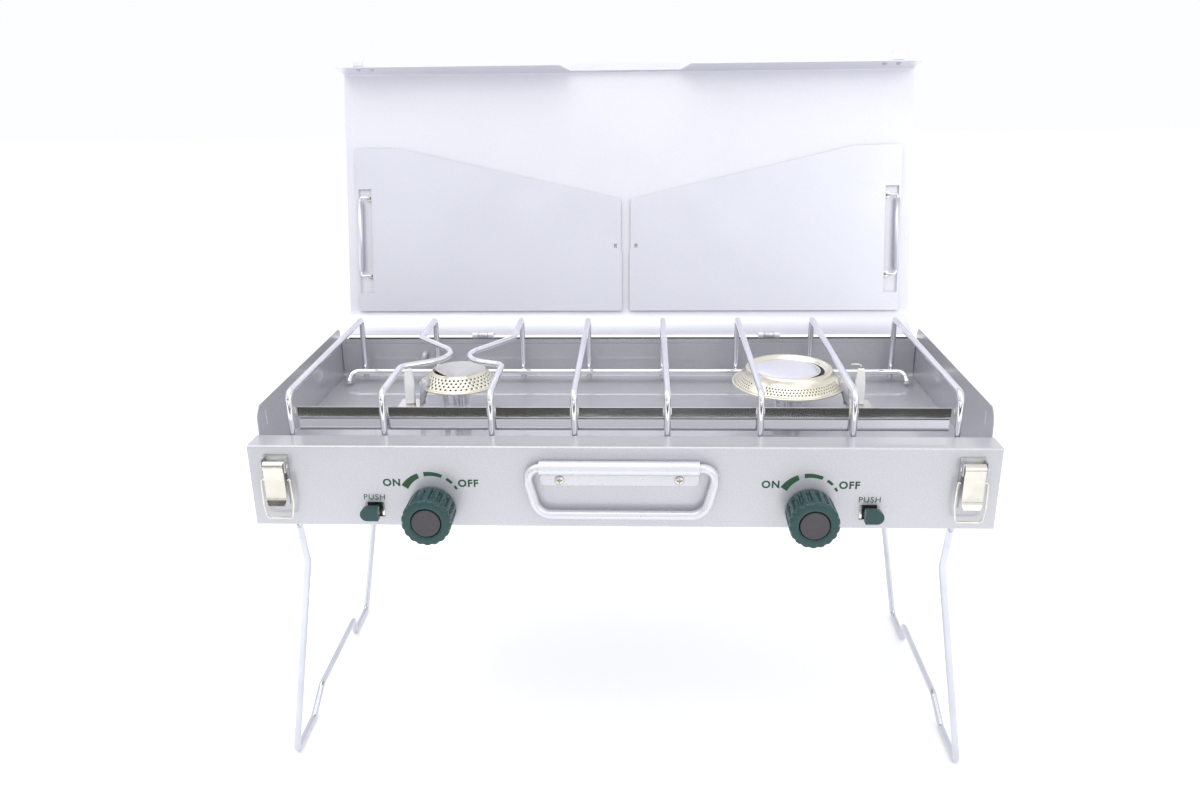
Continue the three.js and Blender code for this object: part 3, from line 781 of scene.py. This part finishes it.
def screw_head():
    """A pan head about Z with a cross recess, two millimetres high."""
    head = turned(soften([(0.01, 0.0), (3.8, 0.0), (3.8, 0.8), (2.8, 1.7), (0.01, 2.0)], 0.6, 4), 40)
    for long, wide in ((2.2, 0.45), (0.45, 2.2)):
        arm = plate([rounded(rectangle(-long, -wide, long, wide), 0.3)], 2.0)
        head = carved(head, shift(arm, z=0.7))
    return head


def add_bracket_screw(label, side):
    """A screw of the handle's bracket and a dark disc in its recess, painted shade on the recess floor."""
    place = facing_front(side * SCREW_X, SCREW_Z, -1.25)
    piece(f"bracket_screw_{label}", screw_head(), "body", "nickel", sharp=50.0, place=place)
    # a dark disc at the bottom of the cross: painted shade in the recess
    floor = plate([circle(0.0, 0.0, 1.9)], 0.3)
    piece(f"screw_floor_shade_{label}", shift(floor, z=0.5), "body", "painted_recess_shade", place=place)


add_handle()
for label, side in SIDES.items():
    add_bracket_screw(label, side)


# ---- pot grate ----
GRATE_ROD = 2.75
GRATE_FOOT = 288.5
# the two wires that bend aside over the small burner: how far, at which y, and the bend's radius
WAISTS = {1: (51.4, 96.0, 126.0, 184.7, 28.0), 2: (-45.2, 102.0, 120.3, 186.1, 24.0)}
RAIL_X = 279.5
RAIL_Y = GRATE_REAR - 5.9
RAIL_Z = 297.6
RAIL_END_Z = 290.7


def add_grate_wire(index, x):
    """A wire from the front rail over the burners and down to the tray, with its weld beads."""
    corners = [(x, GRATE_FRONT, 290.0), (x, GRATE_FRONT, GRATE_Z)]
    bends = [7.0, 5.0]
    if index in WAISTS:
        reach, first, middle, last, apex = WAISTS[index]
        corners += [(x, first, GRATE_Z), (x + reach, middle, GRATE_Z), (x, last, GRATE_Z)]
        bends = [7.0, 9.0, apex, 9.0, 5.0]
    corners += [(x, GRATE_REAR, GRATE_Z), (x, GRATE_REAR, GRATE_FOOT)]
    piece(f"grate_rod_{index + 1}", tube(bent(corners, bends, 12), GRATE_ROD, 24), "pot_grate",
          "chrome", [f"grate_wire_{index + 1}"], sharp=80.0)
    beads = [bead((x + edge * 2.9, 30.2, 334.6), (0.8, 0.9, 3.6), index + edge) for edge in (-1, 1)]
    beads.append(bead((x, GRATE_REAR - 2.9, 297.8), (2.4, 1.2, 2.4), index + 20))
    piece(f"grate_weld_{index + 1}", merge(*beads), "pot_grate", "weld", sharp=80.0)


def add_back_rail():
    """The wire across the back, with its ends bent forwards and down."""
    right = [(RAIL_X, RAIL_Y, RAIL_Z), (RAIL_X, RAIL_Y - 15.0, RAIL_END_Z)]
    left = [(-x, y, z) for x, y, z in reversed(right)]
    piece("grate_back_rail", tube(bent(left + right, 8.0), 3.0, 24), "pot_grate",
          "chrome", ["grate_rear_rail"], sharp=80.0)


for index, x in enumerate(GRATE_X):
    add_grate_wire(index, x)
keep("grate_front_rail", "rail", 0.15)
add_back_rail()


# ---- burners ----
SMALL_RIM = 36.0
LARGE_RIM = 50.3
FLAME_GAPS = (225.0, 345.0, 105.0)
POSTS = ((-11.0, -13.0), (-1.6, -15.0), (8.4, -13.0), (0.0, 15.0))


def rolled_rim(radius, z, segments):
    """The turned edge under a skirt."""
    ring = [(radius - 0.9 + 0.9 * math.cos(t * math.pi / 8), z + 0.9 + 0.9 * math.sin(t * math.pi / 8))
            for t in range(17)]
    return turned(ring, segments)


def bitten(point, angle):
    """Draws the disc's edge in along its front left, where the gas mouth opens."""
    x, y, z = point
    radius = math.hypot(x, y)
    turn = math.degrees(angle)
    bite = math.sin(math.pi * (turn - 172.0) / 92.0) if 172.0 < turn < 264.0 else 0.0
    scale = 1.0 - 4.6 * bite * max(0.0, radius - 15.0) / 8.5 / max(radius, 1.0)
    return x * scale, y * scale, z


def away_from_gaps(angle):
    """Whether the large skirt has holes at an angle in degrees."""
    return all(abs((angle - gap + 180.0) % 360.0 - 180.0) > 11.0 for gap in FLAME_GAPS)


def add_small_burner(place):
    """A steep skirt with holes all round, closed by a disc with a bite in its edge."""
    skirt = perforated((34.8, 322.4), (24.2, 333.4), (0.14, 0.93, 4), 42, 0.85, lambda angle: True)
    lip = turned(soften([(24.2, 333.4), (23.9, 334.3), (23.0, 334.5)], 0.4), 84)
    piece("small_burner_skirt", merge(skirt, lip, rolled_rim(SMALL_RIM, 321.5, 84)), "body",
          "stainless", ["burner_head_left"], sharp=60.0, place=place, skin=0.5)
    # a dark cone under the skirt: painted shade seen through the holes
    liner = turned(soften([(32.4, 321.9), (21.6, 331.6), (0.1, 331.8)], 0.8), 64)
    piece("small_burner_inside", liner, "body", "inner_shade", place=place)
    disc = turned(soften([(0.1, 333.7), (23.0, 333.7), (23.5, 334.3), (23.0, 334.9), (18.0, 335.1),
                          (12.0, 335.2), (0.1, 335.3)], 0.4), 180, bitten)
    piece("small_burner_disc", disc, "body", "disc", ["burner_cap_left"], place=place)


def add_large_burner(place):
    """A wide skirt with three groups of holes, a crown and a bright disc in a groove painted dark as shade.
    """
    skirt = perforated((48.9, 322.6), (39.4, 332.4), (0.18, 0.74, 3), 96, 0.66, away_from_gaps)
    crown = turned(soften([(39.4, 332.4), (38.4, 335.4), (37.3, 336.8), (35.6, 336.9), (33.9, 335.6),
                           (32.6, 333.9), (31.0, 333.0), (26.0, 332.8), (20.0, 332.8)], 0.8, 4), 192)
    piece("large_burner_skirt", merge(skirt, crown, rolled_rim(LARGE_RIM, 321.6, 192)), "body",
          "stainless", ["burner_head_right"], sharp=60.0, place=place, skin=0.5)
    # a dark cone under the skirt: painted shade seen through the holes
    liner = turned(soften([(46.6, 321.9), (36.8, 330.6), (30.0, 330.9), (0.1, 330.9)], 0.8), 64)
    piece("large_burner_inside", liner, "body", "inner_shade", place=place)
    # a dark ring between the disc and the crown: painted shade in that gap
    groove = turned([(27.5, 333.3), (31.7, 333.5), (31.5, 333.7), (27.5, 333.6)], 192)
    piece("large_burner_groove", groove, "body", "inner_shade", place=place)
    dome = turned(soften([(0.1, 333.6), (29.2, 333.7), (30.0, 334.4), (29.2, 335.1), (24.0, 335.7),
                          (14.0, 336.3), (0.1, 336.6)], 0.5, 4), 120)
    piece("large_burner_disc", shift(dome, x=-1.8), "body", "bright",
          ["burner_cap_right"], place=place)


def add_burner_base(label, place, cup):
    """The bowl under a burner, cup its rim's radius, and the posts that carry it."""
    bowl = turned(soften([(5.6, 290.0), (6.4, 290.0), (6.4, 311.0), (cup - 6.0, 317.2), (cup, 318.4),
                          (cup, 321.0), (cup - 1.0, 321.0), (cup - 1.0, 319.2), (5.6, 312.5),
                          (5.6, 290.0)], 1.2), 64)
    piece(f"burner_cup_{label}", bowl, "body", "zinc_bright", [f"burner_bowl_{label}"],
          place=place)
    posts = [tube([(x, y, 286.8), (x, y, 320.6)], 2.3, 20) for x, y in POSTS]
    feet = [tube([(x, y, 286.7), (x, y, 288.4)], 3.4, 6) for x, y in POSTS]
    piece(f"burner_posts_{label}", merge(*posts, *feet), "body", "zinc_bright", place=place,
          sharp=50.0)


burner_places = {label: standing(side * BURNER_X, BURNER_Y) for label, side in SIDES.items()}
add_small_burner(burner_places["left"])
add_large_burner(burner_places["right"])
add_burner_base("left", burner_places["left"], 21.0)
add_burner_base("right", burner_places["right"], 35.5)


# ---- rear wall ----
REAR_FACE = 268.7


def add_rear_gap_shade():
    """A black strip in the gap between the wall's top edge and the lid: painted shade for that gap."""
    gap_shade = plate([rectangle(-286.0, 326.1, 286.0, 327.3)], 0.9)
    piece("rear_gap_shade", gap_shade, "body", "dark_shade", place=facing_back(266.3))


def add_rear_pipe():
    """The bent end of a pipe that comes out of the wall."""
    elbow = bent([(-206.5, 265.6, 311.0), (-206.5, 259.5, 311.0), (-209.5, 257.6, 301.5)], 3.4)
    piece("rear_pipe_end", tube(elbow, 3.0, 24), "body", "tray", sharp=50.0)


def add_hinge_rivets(label, side):
    """The two rivets of a lid hinge, on the outside of the wall."""
    centres = [(side * 146.0 + offset, 307.5) for offset in (-6.5, 6.5)]
    rivets = [tube([(x, REAR_FACE, z), (x, REAR_FACE + 1.2, z)], 2.2, 20) for x, z in centres]
    piece(f"hinge_rivets_{label}", merge(*rivets), "body", "zinc_bright", sharp=50.0)


add_rear_gap_shade()
add_rear_pipe()
for label, side in SIDES.items():
    add_hinge_rivets(label, side)


# ---- igniters ----
IGNITER_X = {"left": -190.0, "right": 208.5}
IGNITER_Y = 118.5


def squared(point, angle):
    """Turns a round section into a block with soft corners."""
    x, y, z = point
    norm = (abs(math.cos(angle)) ** 5 + abs(math.sin(angle)) ** 5) ** 0.2
    return x / norm, y / norm * 0.8, z


def shield_shape(side, rows=7):
    """The bent tab beside the rod, three points across, wider and further back with its height."""
    verts = []
    for k in range(rows):
        t = k / (rows - 1)
        rise = 309.7 + 21.5 * t
        near, far = 9.0 + 1.5 * t, 13.5 + 5.5 * ease(t)
        back = -4.0 + 5.0 * t * t
        verts += [Vector((-side * near, back - 1.0, rise)), Vector((-side * 0.5 * (near + far), back, rise)),
                  Vector((-side * far, back + 1.6, rise))]
    faces = [(3 * k + j, 3 * k + j + 1, 3 * k + j + 4, 3 * k + j + 3)
             for k in range(rows - 1) for j in (0, 1)]
    return verts, faces


def add_igniter(label, side):
    """The ceramic rod, the bent metal tip and the tab."""
    place = standing(IGNITER_X[label], IGNITER_Y)
    rod = turned(soften([(0.05, 309.8), (4.1, 309.8), (4.25, 318.0), (4.2, 329.0), (3.2, 338.6),
                         (2.7, 341.9), (0.05, 342.0)], 0.7, 4), 48, squared)
    piece(f"igniter_rod_{label}", rod, "body", "ceramic", [f"igniter_electrode_{label}"],
          place=place)
    tip = bent([(0.0, 0.0, 339.0), (0.0, 0.0, 345.8), (-side * 8.6, 2.5, 345.0)], 2.6)
    piece(f"igniter_tip_{label}", tube(tip, 0.75, 12), "body", "nickel", sharp=80.0,
          place=place)
    piece(f"igniter_shield_{label}", shield_shape(side), "body", "tray", sharp=60.0,
          place=place, skin=0.7)


for label, side in SIDES.items():
    add_igniter(label, side)


# ---- lid and windshields, in the lid's own (x, u, v) ----
SWING_X = 278.5
SWING_V = 26.2
ROD_LOW = 62.0
ROD_HIGH = 143.0
EYE_X = SWING_X - 9.4
CURL_RADIUS = 2.3
STORED_V = 29.3


def add_strike_rivets(label, side):
    """The two rivet heads of a strike, on the flange's outside."""
    dome, faces = turned(
        soften([(0.05, 0.0), (2.5, 0.0), (2.4, 0.7), (1.6, 1.4), (0.05, 1.6)], 0.5, 3), 24)
    heads = [([Vector((side * x + v.x, 269.7 - v.z, 11.0 + v.y)) for v in dome], faces)
             for x in (272.6, 258.8)]
    piece(f"strike_rivets_{label}", merge(*heads), "lid", "zinc", place=on_lid)


def add_windshield_rod(label, side):
    """The wire that a windshield swings on and the eyes that hold its ends in the lid."""
    x, eye = side * SWING_X, side * EYE_X
    depth = SWING_V + 6.2
    route = bent([(eye, ROD_LOW, depth), (eye, ROD_LOW, SWING_V), (x, ROD_LOW, SWING_V),
                  (x, ROD_HIGH, SWING_V), (eye, ROD_HIGH, SWING_V), (eye, ROD_HIGH, depth)], 2.2)
    piece(f"windshield_rod_{label}", tube(route, 1.2, 14), "lid", "chrome",
          [f"windshield_wire_{label}"], sharp=80.0, place=on_lid)
    collar, faces = turned(soften([(1.5, 29.6), (3.6, 29.6), (3.6, 30.8), (1.5, 30.8)], 0.4), 20)
    eyes = [([Vector((eye + v.x, u + v.y, v.z + 1.6)) for v in collar], faces)
            for u in (ROD_LOW, ROD_HIGH)]
    piece(f"windshield_eyes_{label}", merge(*eyes), "lid", "nickel", place=on_lid)


def windshield_barrel(side):
    """The sheet's edge curled round the wire."""
    curl = [(side * 280.9, 29.6)]
    for step in range(19):
        angle = math.radians(100.0 - 330.0 * step / 18)
        curl.append((side * (SWING_X + CURL_RADIUS * math.cos(angle)),
                     SWING_V + CURL_RADIUS * math.sin(angle)))
    verts = [Vector((a, u, b)) for u in (66.0, 139.0) for a, b in curl]
    size = len(curl)
    return verts, [(k, k + 1, k + 1 + size, k + size) for k in range(size - 1)]


def add_windshield(label, side):
    """The sheet with its long opening and small slot, and its barrel."""
    outline = [(282.6, 24.6), (4.0, 24.6), (4.0, 86.0), (5.0, 87.0), (5.0, 139.8), (233.5, 192.5),
               (283.4, 194.0)]
    loops = [rounded(outline, 1.2, 3), rectangle(267.0, 43.5, 280.6, 152.0),
             rectangle(9.2, 90.0, 12.2, 94.0)]
    sheet = plate([[(side * a, b) for a, b in loop] for loop in loops], 0.8)
    piece(f"windshield_sheet_{label}", shift(sheet, z=STORED_V), f"windshield_{label}",
          "shield", [f"windshield_{label}"], bevel=0.15, place=on_lid)
    piece(f"windshield_barrel_{label}", windshield_barrel(side), f"windshield_{label}",
          "shield", place=on_lid, skin=0.7, sharp=60.0)


keep("lid_shell", "lid", 0.2)
for label, side in SIDES.items():
    keep(f"strike_{label}", "zinc_bright", 0.15)
    add_strike_rivets(label, side)
    add_windshield_rod(label, side)
    add_windshield(label, side)


# ---- legs: places as (x, z) ----
LEG_PIVOT = (269.8, 240.0)
LEG_KNEE = (266.0, 200.7)
LEG_FOOT = (298.6, 2.84)
LEG_FRONT = 23.5
LEG_REAR = 270.8
LEG_BAR_Z = 25.0
LEG_ROD = 2.95


def add_leg(label, side):
    """One wire: down at the front, raised in the middle of the foot, and up at the rear."""
    slope = (LEG_FOOT[0] - LEG_KNEE[0]) / (LEG_KNEE[1] - LEG_FOOT[1])
    bar = (LEG_FOOT[0] - slope * (LEG_BAR_Z - LEG_FOOT[1]), LEG_BAR_Z)
    route = [(LEG_PIVOT, 140.0), (LEG_PIVOT, LEG_FRONT), (LEG_KNEE, LEG_FRONT), (LEG_FOOT, LEG_FRONT),
             (LEG_FOOT, 74.0), (bar, 96.0), (bar, 211.0), (LEG_FOOT, 222.0), (LEG_FOOT, LEG_REAR),
             (LEG_KNEE, LEG_REAR), (LEG_PIVOT, LEG_REAR), (LEG_PIVOT, 142.0)]
    corners = [(side * x, y, z) for (x, z), y in route]
    wire = tube(bent(corners, [7, 12, 7, 6, 6, 6, 6, 7, 12, 7], 12), LEG_ROD, 24)
    piece(f"leg_wire_{label}", wire, f"leg_{label}", "leg", [f"leg_{label}"], sharp=80.0)


for label, side in SIDES.items():
    add_leg(label, side)


# ---- floor, light and camera ----
def staged(name, corners, color, strength=0.0):
    """A flat sheet that belongs to the stage and not to the stove; strength is the light it gives off."""
    mesh = bpy.data.meshes.new(name)
    mesh.from_pydata(corners, [], [(0, 1, 2, 3)])
    material = bpy.data.materials.new(name)
    material.use_nodes = True
    shader = material.node_tree.nodes["Principled BSDF"]
    shader.inputs["Base Color"].default_value = (*color, 1.0)
    shader.inputs["Roughness"].default_value = 0.9
    shader.inputs["Emission Color"].default_value = (*color, 1.0)
    shader.inputs["Emission Strength"].default_value = strength
    mesh.materials.append(material)
    obj = linked(name, mesh)
    return obj


FLOOR_REACH = 6
FLOOR_COLOR = (0.97, 0.97, 0.975)
CARD_Y = -0.8
CARD_COLOR = (0.05, 0.048, 0.042)
# dark cards that show in reflections only: left, bottom, right and top in metres
CARDS = {
    "low_card": (-1.4, 0.05, 1.4, 0.13),
    "side_card": (-0.85, 0.33, -0.32, 0.52),
}

floor_outline = rectangle(-FLOOR_REACH, -FLOOR_REACH, FLOOR_REACH, FLOOR_REACH)
staged("floor", [(x, y, 0) for x, y in floor_outline], FLOOR_COLOR, 0.16)
for name, edges in CARDS.items():
    card = staged(name, [(x, CARD_Y, z) for x, z in rectangle(*edges)], CARD_COLOR)
    card.visible_camera = False
    card.visible_diffuse = False
    card.visible_shadow = False

world = bpy.data.worlds.new("studio")
world.use_nodes = True
backdrop = world.node_tree.nodes["Background"]
backdrop.inputs["Color"].default_value = (0.985, 0.988, 1.0, 1.0)
backdrop.inputs["Strength"].default_value = 1.0
bpy.context.scene.world = world
bpy.context.scene.view_settings.view_transform = "Standard"


def softbox(name, place, size, power):
    """A rectangular light that points at the stove."""
    light = bpy.data.lights.new(name, "AREA")
    light.shape = "RECTANGLE"
    light.size, light.size_y = size
    light.energy = power
    obj = linked(name, light)
    obj.location = place
    obj.rotation_euler = (STOVE_MIDDLE - Vector(place)).to_track_quat("-Z", "Y").to_euler()


STOVE_MIDDLE = Vector((0.0, 0.0, 0.3))
softbox("top_light", place=(-0.6, -0.4, 2.4), size=(2.6, 2.2), power=24.0)
softbox("front_light", place=(1.8, -2.2, 1.7), size=(2.4, 2.2), power=16.0)


def aim(yaw, pitch, roll, place):
    """A camera's matrix from its angles in degrees and its place in metres."""
    yaw, pitch, roll = (math.radians(a) for a in (yaw, pitch, roll))
    ahead = Vector((math.sin(yaw) * math.cos(pitch), math.cos(yaw) * math.cos(pitch), math.sin(pitch)))
    level = Vector((math.cos(yaw), -math.sin(yaw), 0.0))
    upright = level.cross(ahead)
    across = level * math.cos(roll) + upright * math.sin(roll)
    up = upright * math.cos(roll) - level * math.sin(roll)
    matrix = Matrix((across, up, -ahead)).transposed().to_4x4()
    matrix.translation = place
    return matrix


lens = bpy.data.cameras.new("camera")
lens.sensor_width = 36.0
lens.lens = 30.21
lens.clip_start = 0.01
camera = linked("camera", lens)
camera.matrix_world = aim(yaw=-2.644, pitch=-19.838, roll=-0.806, place=(0.0191, -0.89356, 0.61702))
bpy.context.scene.camera = camera
